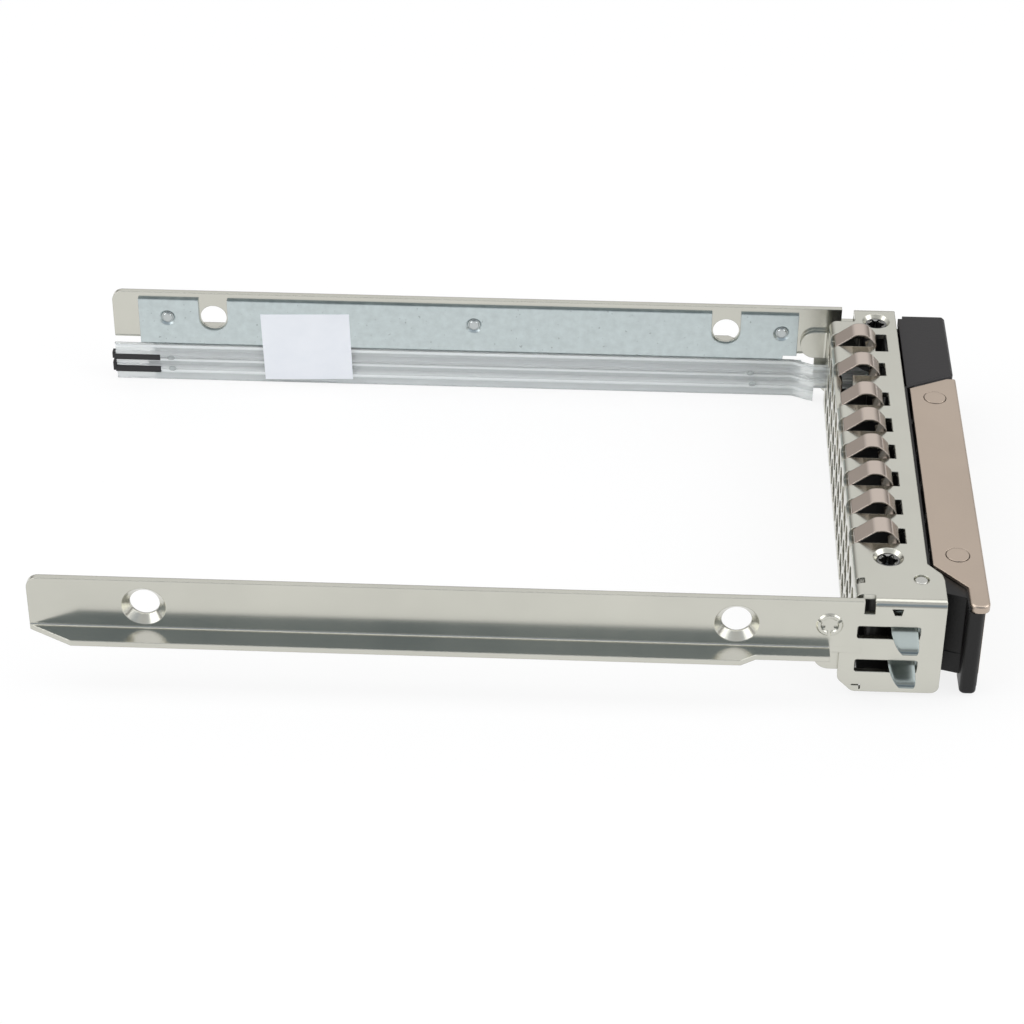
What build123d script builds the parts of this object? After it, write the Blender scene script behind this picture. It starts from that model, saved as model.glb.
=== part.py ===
"""Hot swap caddy for a 2.5 inch drive: folded steel frame, light pipes and a sprung swing handle."""
import os
from math import cos, pi, radians, sin, sqrt

from build123d import *

# Working frame: x from the front drive screws towards the handle, y across from the middle of the
# drive towards the light pipes, z up from the axis of the drive screws. place() moves it to the base.

# Drive that the caddy holds
drive_width = 69.85
drive_play = 0.1
hole_pitch = 76.6
screw_hole = 3.9
drive_nose = 9.85

# Folded sheet of the frame
sheet = 0.8
bend_in = 0.3
web_set_back = 0.5
rail_rear = 15.1
rail_top = 4.1
flange_low = 4.2
flange_width = 3.3
flange_end = 12.1
flange_taper = 5.8
flange_step = 1.3
flange_step_x = 1.6
dimple_mouth = 5.8
dimple_depth = 1.0
rail_corner = 1.6

# Front bracket of the frame
wall_x = 15.0
wall_low = 10.2
plate_rear = 13.4
plate_front = 26.7
sheet_front = 24.7
plate_low = 10.45
plate_chamfer = 2.0
plate_corner = 1.1
notch_depth = 2.0
near_rail_end = 16.2
near_fold_start = 17.6
near_sheet_edge = 0.35
far_rail_end = 17.0
far_fold_start = 18.75
far_sheet_edge = 2.7
corner_chamfer_start = 7.3
corner_chamfer_end = 5.1
clinch_x = 11.9
clinch_z = 0.3
clinch_size = 3.65
clinch_height = 0.28
ear_rear_near = 10.2
ear_rear_far = 11.2
ear_low_near = 7.5
ear_low_far = 3.9
ear_top_near = 2.6
ear_top_far = 0.5
ear_round = 2.1

# Perforated rear wall
cell_flats = 3.6
cell_pitch = 4.6
cell_rows = 3
cell_top_row = 0.4

# Contact fingers in the top sheet
finger_count = 8
finger_pitch = 6.63
finger_far_pitch = 7.8
finger_far_count = 2
finger_first = 13.4
finger_width = 3.2
finger_rise = 1.85
finger_ramp = 3.3
finger_crest = 1.7
finger_fall = 1.9
window_margin = 0.13
window_front = 22.35
spring_sheet = 0.18

# Contact tabs in the near side plate
tab_slot_x0 = 15.5
tab_slot_x1 = 23.6
tab_slot_height = 2.0
tab_slot_tops = (0.2, -5.2)
tab_x0 = 19.8
tab_bulge = 2.5
tab_hang = 2.85
strip_low = 8.6
strip_top = 2.3
tab_narrowing = 1.5

# Light pipe carrier and light pipes
carrier_sheet = 0.5
carrier_bend = 0.6
carrier_rear = 11.15
carrier_front = 10.7
carrier_top = 3.1
carrier_low = 11.0
carrier_gap = 0.05
rivet_places = (-83.5, -37.55, 8.3)
rivet_shank = 1.5
rivet_head = 2.5
pipe_depth = 1.15
pipe_gap = 0.08
pipe_low = 11.1
pipe_split = 7.15
pipe_rear = 15.2
pipe_tip = 26.4
pipe_inset = 1.35
pipe_bend_start = 10.4
pipe_groove = 0.4
pipe_ridge = 0.45

# Clip behind the light pipes, and the blank label
clip_length = 7.2
clip_overhang = 0.5
prong_height = 0.95
label_length = 13.3
label_height = 11.4
label_x = -62.7
label_z = -4.5
label_tilt = 1.7
label_sheet = 0.08

# Front housing
housing_wall = 1.2
housing_front = 25.2
housing_bar_rear = 22.8
button_wall_front = 24.0
housing_low = 10.3
floor_sheet = 1.0
vent_pitch = 6.6
near_screw = (19.76, 8.6)
far_screw = (21.8, 2.5)
screw_mouth = 4.05
screw_sink = 0.45
screw_socket = 2.3
screw_shank = 2.2
screw_length = 5.0

# Handle
pivot_x = 23.72
pivot_in = 3.87
pin_size = 2.0
pin_play = 0.05
handle_rear = 25.6
handle_front = 32.3
handle_top = 3.5
handle_low = 10.3
cover_sheet = 0.5
cover_near = 0.9
cover_corner = 1.15
cover_cut = 3.9
cover_edge = 0.35
foot_x = 29.5
foot_corner = 0.75
foot_low = 10.9
arm_low = 9.4
handle_chamfer_near = 3.4
handle_chamfer_far = 8.0
cover_rivet_x = 28.95
cover_rivet_near = 10.3
cover_rivet_far = 21.9
cover_rivet = 3.0
rivet_groove = 0.1
lever_wall = 1.2

# Release button and latch
button_rear = 25.25
button_front = 32.15
button_top = 3.0
button_near = 18.3
button_slant = 3.45
button_wall = 1.2
button_side_wall = 0.95
button_travel = 0.9
moving_gap = 0.35
button_lever_gap = 0.5
latch_top = -2.2
latch_height = 1.8
latch_rear = 25.4
latch_nose_rear = 27.2
latch_front = 28.4
latch_ramp = 1.2
latch_length = 6.5
latch_lug_back = 5.0
light_window_places = (-5.95, -8.2)
latch_spring_x = 26.4
latch_spring_length = 2.1

# Worked-out sizes
contact = drive_width / 2 + drive_play
web_in = contact + web_set_back
web_out = web_in + sheet
flange_out = web_out + flange_width
bend_out = bend_in + sheet
rail_end = -(hole_pitch + rail_rear)
under_sheet = rail_top - sheet
wall_front = wall_x + sheet
pivot_y = -contact + pivot_in
pipe_end = -(hole_pitch + pipe_rear)
pipe_top = flange_low + 2 * carrier_gap + carrier_sheet
clip_rear = pipe_end - clip_overhang
button_line = contact - button_near
button_far = web_out - 0.13
finger_places = [
    -contact + finger_first + finger_pitch * min(i, finger_count - finger_far_count - 1)
    + finger_far_pitch * max(0, i - (finger_count - finger_far_count - 1))
    for i in range(finger_count)
]
origin_x = (clip_rear + handle_front) / 2


def place(part):
    """Move a finished piece so that the origin is in the middle of the underside."""
    return Pos(-origin_x, 0, pipe_low) * part


def block(x0, x1, y0, y1, z0, z1):
    """Box between two opposite corners."""
    return Pos((x0 + x1) / 2, (y0 + y1) / 2, (z0 + z1) / 2) * Box(x1 - x0, y1 - y0, z1 - z0)


def outline(points, radius):
    """Closed outline with every corner rounded."""
    face = make_face(Polyline(*points, close=True))
    return fillet(face.vertices(), radius) if radius else face


def along_z(points, z0, z1, radius=0.0):
    """Prism that stands on an outline of (x, y) points."""
    return Pos(0, 0, z0) * extrude(outline(points, radius), z1 - z0, dir=(0, 0, 1))


def along_y(points, y0, y1, radius=0.0):
    """Prism across the caddy with an outline of (x, z) points."""
    return Pos(0, y0, 0) * extrude(Plane.XZ * outline(points, radius), y1 - y0, dir=(0, 1, 0))


def along_x(points, x0, x1, radius=0.0):
    """Prism along the caddy with an outline of (y, z) points."""
    return Pos(x0, 0, 0) * extrude(Plane.YZ * outline(points, radius), x1 - x0, dir=(1, 0, 0))


def rectangle(a0, a1, b0, b1):
    """Corners of a rectangle."""
    return [(a0, b0), (a1, b0), (a1, b1), (a0, b1)]


def round_z(x, y, z0, z1, r0, r1=None):
    """Upright round bar, or a cone from radius r0 at z0 to r1 at z1."""
    return Pos(x, y, (z0 + z1) / 2) * round_bar(z1 - z0, r0, r1)


def round_y(x, z, y0, y1, r0, r1=None):
    """Round bar or cone across the caddy."""
    return Pos(x, (y0 + y1) / 2, z) * Rot(-90, 0, 0) * round_bar(y1 - y0, r0, r1)


def round_x(y, z, x0, x1, r0, r1=None):
    """Round bar or cone along the caddy."""
    return Pos((x0 + x1) / 2, y, z) * Rot(0, 90, 0) * round_bar(x1 - x0, r0, r1)


def round_bar(length, r0, r1):
    """Cylinder, or a cone when the two radii differ."""
    if r1 is None or abs(r1 - r0) < 1e-6:
        return Cylinder(r0, length)
    return Cone(r0, r1, length)


def folded(points, thickness, radius, side):
    """Section of a sheet that is folded along a line of points."""
    line = FilletPolyline(*points, radius=radius)
    return make_face(offset(line, amount=thickness, side=side))


def mirrored(part):
    """The same piece on the other side of the drive."""
    return mirror(part, about=Plane.XZ)


def hexagons(across, pitch, rows, top, low_y, high_y):
    """Centres of a staggered field of six-sided cells, as (y, z)."""
    centres = []
    for row in range(rows):
        start = low_y + across / 2 + (pitch / 2 if row % 2 else 0)
        count = int((high_y - across / 2 - start) / pitch) + 1
        centres += [(start + i * pitch, top - row * pitch * sqrt(3) / 2) for i in range(count)]
    return centres


def hexagon_cells(centres, across, x0, x1):
    """Six-sided prisms along x, point up, at each centre."""
    cell = Pos(x0, 0, 0) * extrude(Plane.YZ * RegularPolygon(across / sqrt(3), 6, rotation=30),
                                   x1 - x0, dir=(1, 0, 0))
    return [Pos(0, y, z) * cell for y, z in centres]


def rail(end):
    """Near side rail: a web with a flange folded outwards along its lower edge."""
    section = folded([(-web_in, rail_top), (-web_in, -flange_low), (-flange_out, -flange_low)],
                     sheet, bend_out, Side.RIGHT)
    body = Pos(rail_end, 0, 0) * extrude(Plane.YZ * section, end - rail_end, dir=(1, 0, 0))
    low, high = -flange_low - 1, -flange_low + bend_out
    clear = -web_out - 0.02
    taper = [(rail_end - 1, clear), (rail_end, clear), (rail_end + flange_taper, -flange_out),
             (rail_end + flange_taper, -flange_out - 1), (rail_end - 1, -flange_out - 1)]
    body -= along_z(taper, low, high)
    step = -flange_out + flange_step
    narrow = [(flange_step_x - 1, -flange_out - 1), (flange_step_x - 1, -flange_out),
              (flange_step_x + 1, step), (end + 1, step), (end + 1, -flange_out - 1)]
    body -= along_z(narrow, low, high)
    body -= block(flange_end, end + 1, -flange_out - 1, clear, low, high)
    corner = body.edges().filter_by(Axis.Y).group_by(Axis.X)[0].sort_by(Axis.Z)[-1]
    return fillet(corner, rail_corner)


def screw_dimple(x):
    """Material and cut of a conical dimple for a drive screw, formed inwards in the near rail."""
    mouth, hole = dimple_mouth / 2, screw_hole / 2
    added = round_y(x, 0, -web_in - sheet / 2, -contact, mouth + 0.1, hole + 0.55)
    cut = round_y(x, 0, -web_out, -web_out + dimple_depth, mouth, hole)
    cut += round_y(x, 0, -web_out, -contact + 1, hole)
    return added, cut


def clinch_mark():
    """Raised round press mark on the near rail: the ring to add and the cuts that part it."""
    face, top = -web_out, -web_out - clinch_height
    rim = clinch_size / 2
    ring = round_y(clinch_x, clinch_z, top, face + 0.1, rim - clinch_height, rim)
    cuts = round_y(clinch_x, clinch_z, top - 0.01, face, rim * 0.66, rim * 0.56)
    for turn in (270, 30, 150):
        notch = block(rim * 0.3, rim + 0.2, top - 0.1, face, -0.2, 0.2)
        cuts += Pos(clinch_x, 0, clinch_z) * Rot(0, -turn, 0) * notch
    for away in (-1, 1):
        cuts += round_y(clinch_x + away * rim * 0.42, clinch_z - rim * 0.2, face - 0.01, face + 0.2, 0.2)
    return ring, cuts


def ear(side, rear, low, top):
    """Ear of the rear wall, folded back along the inside of a rail."""
    section = folded([(wall_front, contact - 5.5), (wall_front, web_in), (rear, web_in)],
                     sheet, bend_out, Side.LEFT)
    body = Pos(0, 0, -low) * extrude(section, low + top, dir=(0, 0, 1))
    corners = body.edges().filter_by(Axis.Y).group_by(Axis.X)[0]
    body = fillet(corners, ear_round)
    return body if side > 0 else mirrored(body)


def window_cuts():
    """Openings of the top sheet that the contact fingers stand in, cut down into the wall's bend."""
    half = finger_width / 2 + window_margin
    low, high = under_sheet - 0.6, rail_top + 1
    cuts = [block(wall_x - 1, window_front, y - half, y + half, low, high) for y in finger_places]
    last = finger_places[-1]
    cuts.append(block(window_front - 1.15, window_front + 0.7, last - half - 1.2, last + half, low, high))
    wide = finger_places[-3] + half, finger_places[-2] - half
    cuts.append(block(wall_x - 1, wall_x + 2.5, wide[0], wide[1], low, high))
    return cuts


def frame():
    """Both rails, the top sheet, the side plates and the rear wall, folded from one blank."""
    section = folded([(-web_out, -plate_low), (-web_out, rail_top), (web_out, rail_top),
                      (web_out, -plate_low)], sheet, bend_out, Side.RIGHT)
    body = Pos(plate_rear, 0, 0) * extrude(Plane.YZ * section, plate_front - plate_rear, dir=(1, 0, 0))
    beyond = web_out + 1
    near_edge = -contact + near_sheet_edge
    far_edge = contact - far_sheet_edge
    low, high = rail_top - notch_depth, rail_top + 1
    body -= block(plate_rear - 1, near_fold_start, -beyond, near_edge, low, high)
    body -= along_z(rectangle(plate_rear - 1, far_fold_start, far_edge, beyond), low, high, 0.4)
    body -= block(plate_rear - 1, wall_front + 1, near_edge - 1, far_edge + 1, under_sheet - 0.3, high)
    chamfer_start = -contact + corner_chamfer_start
    chamfer_end = -contact + corner_chamfer_end
    body -= along_z([(sheet_front, beyond), (sheet_front, chamfer_start),
                     (plate_front - 0.25, chamfer_end), (plate_front, chamfer_end - 1.2),
                     (plate_front + 1, chamfer_end - 1.2), (plate_front + 1, beyond)],
                    -plate_low - 1, high)
    lower = body.edges().filter_by(Axis.Y).group_by(Axis.Z)[0]
    body = chamfer(lower.group_by(Axis.X)[0], plate_chamfer)
    bevel = [e for e in body.edges().filter_by(Axis.Y) if (e @ 0.5).X < plate_rear + plate_chamfer + 0.05
             and (e @ 0.5).Z < -plate_low + plate_chamfer + 0.05]
    body = fillet(bevel, plate_chamfer * 0.6)
    for y in (-web_out, web_out):
        lower = body.edges().filter_by(Axis.Y).filter_by_position(Axis.Y, y - sheet, y + sheet)
        body = fillet(lower.group_by(Axis.Z)[0].sort_by(Axis.X)[-1], plate_corner)
    body += rail(near_rail_end)
    body += mirrored(rail(far_rail_end))
    wall = folded([(sheet_front - 1, rail_top), (wall_x, rail_top), (wall_x, -wall_low)],
                  sheet, bend_out, Side.LEFT)
    body += Pos(0, near_edge, 0) * extrude(Plane.XZ * wall, far_edge - near_edge, dir=(0, 1, 0))
    body += ear(-1, ear_rear_near, ear_low_near, ear_top_near)
    body += ear(1, ear_rear_far, ear_low_far, ear_top_far)
    for x in (0, -hole_pitch):
        added, cut = screw_dimple(x)
        body = body + added - cut
        body -= round_y(x, 0, web_in - 0.4, web_in + sheet + 0.01, screw_hole / 2)
        body -= round_y(x, 0, web_out - 0.45, web_out + 0.01, screw_hole / 2, screw_hole / 2 + 0.5)
    for x in rivet_places:
        body -= round_y(x, 0, web_in - 0.1, web_out + 0.1, rivet_shank / 2 + 0.02)
    ring, cuts = clinch_mark()
    body = body + ring - cuts
    body += round_y(clinch_x, clinch_z, -web_in + sheet, -web_in + sheet + 0.35, clinch_size / 2 + 0.2)
    for cut in window_cuts():
        body -= cut
    cells = hexagons(cell_flats, cell_pitch, cell_rows, cell_top_row, near_edge + 1.6, far_edge - 0.6)
    body -= hexagon_cells(cells, cell_flats, wall_x - 1, wall_front + 0.5)
    for top in tab_slot_tops:
        body -= along_y(rectangle(tab_slot_x0, tab_slot_x1, top - tab_slot_height, top),
                        -web_out - 1, -web_in + 0.2, 0.3)
    relief = rail_top - bend_out
    body -= along_y([(19.7, relief), (21.2, relief), (21.0, relief - 1), (20.1, relief - 1)],
                    -web_out - 1, -web_in + 0.2)
    body -= block(wall_x + 0.3, wall_x + 1.4, near_edge + 2.5, near_edge + 3.6, under_sheet - 1.2, high)
    slit = -plate_low + 1.15
    body -= block(wall_x + 0.3, wall_x + 1.5, -web_out - 1, -web_in + 0.1, slit - 0.2, slit)
    body -= block(wall_x + 1.3, wall_x + 1.5, -web_out - 1, -web_in + 0.1, slit - 0.8, slit)
    body -= round_z(pivot_x, pivot_y, under_sheet - 0.2, high, pin_size / 2 + 0.02)
    for x, y in screw_places():
        body -= round_z(x, y, under_sheet - 0.01, rail_top + 0.01, screw_shank / 2 + 0.1,
                        screw_mouth / 2)
    return body


def screw_places():
    """Where the two housing screws stand, as (x, y)."""
    return (near_screw[0], -contact + near_screw[1]), (far_screw[0], contact - far_screw[1])


def screw_holes():
    """Where the drive screws pass the carrier's notches."""
    return 0, -hole_pitch


def light_pipe_carrier():
    """Plate inside the far rail that steps outwards below the rail's flange and backs the light pipes."""
    shelf = -pipe_top + carrier_gap
    outer = contact + pipe_gap + pipe_depth
    section = folded([(contact, carrier_top), (contact, shelf), (outer, shelf), (outer, -carrier_low)],
                     carrier_sheet, carrier_bend, Side.LEFT)
    rear = -(hole_pitch + carrier_rear)
    front = carrier_front + 0.9
    body = Pos(rear, 0, 0) * extrude(Plane.YZ * section, front - rear, dir=(1, 0, 0))
    y0, y1 = contact - 1, outer + carrier_sheet + 1
    body -= block(carrier_front, front + 1, y0, y1, -flange_low + 0.3, carrier_top + 1)
    body -= block(rear - 1, rear + 1.6, y0, y1, -carrier_low - 1, shelf + 0.2)
    body -= block(drive_nose - 1.2, front + 1, y0, y1, -flange_low - 1.4, -flange_low + 0.35)
    notch = screw_hole / 2 + 0.2
    for x in screw_holes():
        body -= round_y(x, 0, y0, y1, notch)
        body -= block(x - notch, x + notch, y0, y1, 0, carrier_top + 1)
    for x in rivet_places:
        body -= round_y(x, 0, y0, web_in + 0.3, rivet_shank / 2 + 0.02)
        body -= round_y(x, 0, contact, contact + 0.4, rivet_head / 2 + 0.02, rivet_shank / 2 + 0.02)
    return body


def carrier_rivets():
    """Three flush rivets from the carrier to the far rail."""
    rivets = []
    for x in rivet_places:
        one = round_y(x, 0, contact, web_out, rivet_shank / 2)
        one += round_y(x, 0, contact + 0.25, contact + 0.4, rivet_shank / 2 + 0.18, rivet_shank / 2)
        one = chamfer(one.edges().sort_by(Axis.Y)[0], 0.12)
        rivets.append(one + round_y(x, 0, web_out, web_out + 0.45, 1.3, 1.0))
    return rivets


def light_pipe(top, low, thin_from):
    """Clear bar with raised edges, led inwards past the far side plate."""
    inner = contact + pipe_gap
    outer = inner + pipe_depth - carrier_gap
    dip = inner + pipe_groove
    points = [(outer, top - carrier_bend), (outer - carrier_bend, top), (inner, top),
              (inner, top - pipe_ridge / 2), (dip, top - pipe_ridge), (dip, thin_from + 2 * pipe_ridge),
              (inner, thin_from + pipe_ridge), (inner, thin_from)]
    if thin_from > low:
        points += [(inner + 0.3, thin_from - 0.2), (inner + 0.3, low)]
    points += [(outer, low)]
    middle = inner + pipe_depth / 2
    route = FilletPolyline((pipe_end, middle), (pipe_bend_start, middle),
                           (pipe_bend_start + 2.8, middle - pipe_inset), (pipe_tip, middle - pipe_inset),
                           radius=2.0)
    face = Pos(pipe_end, 0, 0) * (Plane.YZ * make_face(Polyline(*points, close=True)))
    return sweep(face, path=route)


def prong_heights():
    """Middle heights of the clip's two prongs."""
    return -pipe_split, -pipe_split - 2.15


def clip_room():
    """Space that the clip takes out of the light pipes."""
    inner, outer = contact - 0.5, contact + pipe_gap + pipe_depth + 0.5
    half = prong_height / 2 + 0.05
    front = pipe_end + clip_length - clip_overhang
    high, low = prong_heights()
    room = block(pipe_end - 1, front + 0.05, inner, outer, high - half, high + half)
    room += block(pipe_end - 1, front + 0.05, inner, outer, low - half, low + half)
    return room + block(front - 1.9, front + 0.05, outer - 1.05, outer, low, high)


def upper_light_pipe():
    """Upper of the two light pipes."""
    low = -pipe_split + 0.05
    return light_pipe(-pipe_top, low, low) - clip_room()


def lower_light_pipe():
    """Lower light pipe, with the thin foot that rests on the ground."""
    body = light_pipe(-pipe_split - 0.05, -pipe_low, -pipe_split - 2.3) - clip_room()
    ahead = pipe_bend_start + 3.1
    clear = -housing_low + button_wall + moving_gap
    return body - block(ahead, pipe_tip + 1, contact - 5, contact + 5, -pipe_low - 1, clear)


def light_pipe_clip():
    """Fork that parts the two light pipes at their rear ends."""
    inner, outer = contact + pipe_gap, contact + pipe_gap + pipe_depth - carrier_gap
    half = prong_height / 2
    front = pipe_end + clip_length - clip_overhang
    high, low = prong_heights()
    body = block(clip_rear + 0.35, front, inner, outer, high - half, high + half)
    body += block(clip_rear + 0.35, front, inner, outer, low - half, low + half)
    body += block(front - 1.85, front, outer - 0.5, outer, low, high)
    body += block(clip_rear, pipe_end - 0.05, inner, outer, high - half + 0.2, high + half + 0.25)
    return body + block(clip_rear, pipe_end - 0.05, inner, outer, low - half + 0.2, low + half + 0.7)


def label():
    """Blank label over the carrier and the light pipes."""
    half_x, half_z = label_length / 2, label_height / 2
    plate = block(-half_x, half_x, contact - label_sheet, contact, -half_z, half_z)
    return Pos(label_x, 0, label_z) * Rot(0, -label_tilt, 0) * plate


def top_contact_strip():
    """Eight sprung fingers on one strip that stands in front of the perforated wall."""
    base = wall_front + 0.05 + spring_sheet
    crest = rail_top + finger_rise
    ramp_end = wall_x + finger_ramp
    crest_end = ramp_end + finger_crest
    nose = crest_end + finger_fall
    line = [(base, -1.2), (base, 2.75), (wall_x + 0.42, 3.75), (ramp_end, crest), (crest_end, crest),
            (nose, rail_top - 0.2), (nose - 1.7, under_sheet - 0.6)]
    section = folded(line, spring_sheet, (0.5, 0.3, 1.5, 1.8, 0.8), Side.LEFT)
    body = None
    for y in finger_places:
        one = Pos(0, y - finger_width / 2, 0) * extrude(Plane.XZ * section, finger_width, dir=(0, 1, 0))
        body = one if body is None else body + one
    ends = finger_places[0] - finger_width / 2, finger_places[-1] + finger_width / 2
    return body + block(base - spring_sheet, base, ends[0], ends[1], -1.2, 1.2)


def side_contact_strip():
    """Two sprung tabs that stand out through the slots of the near side plate."""
    inside = -web_in + 0.03 + spring_sheet
    crest = -web_out - tab_bulge
    body = block(tab_slot_x1 - 0.35, tab_slot_x1 + 1.1, inside - spring_sheet, inside, -strip_low, strip_top)
    for top in tab_slot_tops:
        line = [(inside, top + 2.1), (inside, top - 0.3), (crest, top - tab_hang + 0.65),
                (crest + 0.3, top - tab_hang), (-web_out - 0.3, top - 1.7), (-web_in + 0.9, top - 1.78)]
        section = folded(line, spring_sheet, (0.3, 0.3, 0.3, 0.3), Side.RIGHT)
        tab = Pos(tab_x0, 0, 0) * extrude(Plane.YZ * section, tab_slot_x1 - 0.3 - tab_x0, dir=(1, 0, 0))
        slope = [(tab_x0 - 1, -web_out), (tab_x0, -web_out), (tab_x0 + tab_narrowing, crest - 0.5),
                 (tab_x0 - 1, crest - 0.5)]
        body += tab - along_z(slope, -20, 20)
        body += block(tab_x0, tab_slot_x1 + 0.5, inside - spring_sheet, inside, top + 0.6, top + 2.1)
    return body


def front_housing():
    """Moulding inside the front bracket: vented front, screw bosses, pin seat and button guide."""
    rear = wall_front + 0.4
    near, far = -web_in + 0.5, web_in - 0.3
    floor_top = -housing_low + floor_sheet
    bar_low = under_sheet - housing_wall
    near_wall = -contact + 8.1
    bay_end = button_line - 0.55
    body = block(rear, sheet_front + 0.2, near, bay_end, -housing_low, floor_top)
    body += block(rear, button_wall_front, bay_end, far, -housing_low, floor_top)
    body += block(housing_bar_rear, housing_front, near_wall, bay_end, bar_low, under_sheet)
    body += block(housing_bar_rear, button_wall_front, bay_end, far, bar_low, under_sheet)
    body += block(rear, housing_front, near_wall, near_wall + housing_wall, floor_top, under_sheet - 0.6)
    body += block(rear + 6, housing_front, bay_end - housing_wall, bay_end, floor_top, under_sheet)
    body += block(housing_bar_rear, button_wall_front, bay_end, far, floor_top, bar_low)
    count = int((bay_end - near_wall - vent_pitch) / vent_pitch)
    gap = (bay_end - near_wall) / (count + 1)
    for i in range(count):
        y = near_wall + gap * (i + 1)
        body += block(23.6, housing_front, y - 0.5, y + 0.5, floor_top, bar_low)
    body += block(23.8, housing_front - 0.2, near_wall, bay_end, -4.1, -3.1)
    (near_x, near_y), (far_x, far_y) = screw_places()
    body += round_z(near_x, near_y, floor_top, under_sheet, 2.3)
    body += round_z(far_x, far_y, -3.4, under_sheet, button_wall_front - far_x)
    body += block(far_x - 0.6, housing_bar_rear, far_y - 3, far_y - 1.6, floor_top, under_sheet - 0.5)
    body += block(far_x - 0.6, far_x + 0.6, far_y - 3, far_y, -3.4, under_sheet - 0.5)
    for x, y in screw_places():
        body -= round_z(x, y, under_sheet - screw_length, under_sheet + 1, screw_shank / 2 + 0.02)
    pipe_side = contact + pipe_gap - pipe_inset - 0.3
    body -= block(housing_bar_rear - 1, button_wall_front + 1, pipe_side, far + 1, floor_top, -flange_low)
    body += round_z(pivot_x, pivot_y, floor_top, floor_top + 0.7, 2.0)
    body -= round_z(pivot_x, pivot_y, -housing_low - 1, floor_top + 1, pin_size / 2 + 0.02)
    spring_y, spring_z = spring_axis()
    body += round_x(spring_y, spring_z, button_wall_front, button_wall_front + 2.4, 1.1)
    lug_far = button_far - button_side_wall - moving_gap
    body += block(button_wall_front - 0.5, button_rear + 0.5, lug_far - 1.6, lug_far, -flange_low,
                  button_top - button_wall - moving_gap)
    shelf_top = latch_top - latch_height - moving_gap
    stop = latch_far() + latch_spring_length + 0.1
    body += block(button_wall_front, latch_front, latch_far() - 8.2, stop + 1, shelf_top - 1, shelf_top)
    return body + block(button_wall_front, latch_front - 0.2, stop, stop + 1, shelf_top, latch_top)


def spring_axis():
    """Axis of the button's spring, as (y, z)."""
    return contact - 6.5, -7.2


def latch_far():
    """Far end of the latch slide at rest."""
    return contact - 6.2


def housing_screws():
    """Two countersunk screws that hold the housing under the top sheet."""
    lowest, shank = screw_shank / 2 + 0.05, screw_shank / 2
    head = lowest + (screw_mouth / 2 - lowest) * (1 - screw_sink / sheet) - 0.03
    top = rail_top - screw_sink
    screws = []
    for x, y in screw_places():
        one = round_z(x, y, under_sheet, top, lowest, head)
        one += round_z(x, y, under_sheet - screw_length + 0.4, under_sheet + 0.2, shank)
        star = round_z(x, y, top - 1.3, top + 1, screw_socket * 0.42)
        for turn in range(6):
            angle = radians(60 * turn)
            reach = screw_socket * 0.4
            star += round_z(x + reach * cos(angle), y + reach * sin(angle), top - 1.3, top + 1,
                            screw_socket * 0.15)
        screws.append(one - star - round_z(x, y, top - 0.12, top + 0.01, head - 0.5, head - 0.2))
    return screws


def slanted(gap, x):
    """Distance across at x of a line that runs beside the button's near side, set back by gap."""
    return button_line - gap + (x - button_rear) * button_slant / (button_front - button_rear)


def handle_outline(inset, gap):
    """Outline of the handle from above, drawn in by inset, with its far end gap from the button."""
    near = -contact - cover_near + inset
    chamfer_near = -contact + handle_chamfer_near
    chamfer_far = -contact + handle_chamfer_far
    rear, front = handle_rear + inset, handle_front - inset
    return [(rear, chamfer_far), (foot_x + 0.2, chamfer_near), (foot_x + 0.2, near), (front, near),
            (front, slanted(gap, front - 1.3)), (front - 1.3, slanted(gap, front - 1.3)),
            (rear, slanted(gap, rear))]


def handle_cover():
    """Thin metal skin of the handle: top and bottom sheets and a perforated front."""
    body = along_z(handle_outline(0, 1.5), -handle_low, handle_top)
    inner = handle_front - cover_sheet
    near_end = -contact - cover_near
    body = fillet(body.edges().filter_by(Axis.Z).group_by(Axis.Y)[0], cover_corner)
    rim = [e for e in body.faces().sort_by(Axis.Z)[-1].edges()
           if (e @ 0.5).Y < near_end + cover_corner or (e @ 0.5).X > handle_front - cover_corner / 2]
    body = fillet(rim, cover_edge)
    body -= block(handle_rear - 1, inner, near_end + cover_sheet, web_out, -handle_low + cover_sheet,
                  handle_top - cover_sheet)
    body -= block(handle_rear - 1, handle_front + 1, near_end - 1, near_end + cover_cut,
                  -handle_low - 1, handle_top - 1.1)
    body -= block(handle_rear - 1, foot_x + 0.1, near_end - 1, -contact + handle_chamfer_far + 1,
                  -handle_low - 1, -handle_low + cover_sheet + 0.1)
    centres = hexagons(3.0, 3.9, 3, -0.2, near_end + 5.5, button_line + button_slant - 5)
    body -= hexagon_cells(centres, 3.0, inner - 1, handle_front + 1)
    for x, y in cover_rivet_places():
        body -= round_z(x, y, -handle_low - 1, handle_top + 1, cover_rivet / 2 + rivet_groove)
    return body


def cover_rivet_places():
    """Where the cover is riveted, as (x, y)."""
    return (cover_rivet_x, -contact + cover_rivet_near), (cover_rivet_x, contact - cover_rivet_far)


def cover_rivets():
    """Flush rivets that hold the cover to the lever, two above and two below."""
    rivets = []
    for x, y in cover_rivet_places():
        top = round_z(x, y, handle_top - cover_sheet, handle_top + 0.05, cover_rivet / 2)
        top += round_z(x, y, handle_top - cover_sheet - 0.9, handle_top - 0.1, 0.8)
        low = round_z(x, y, -handle_low, -handle_low + cover_sheet, cover_rivet / 2)
        low += round_z(x, y, -handle_low + 0.1, -handle_low + cover_sheet + 0.9, 0.8)
        rivets += [top, low]
    return rivets


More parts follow.
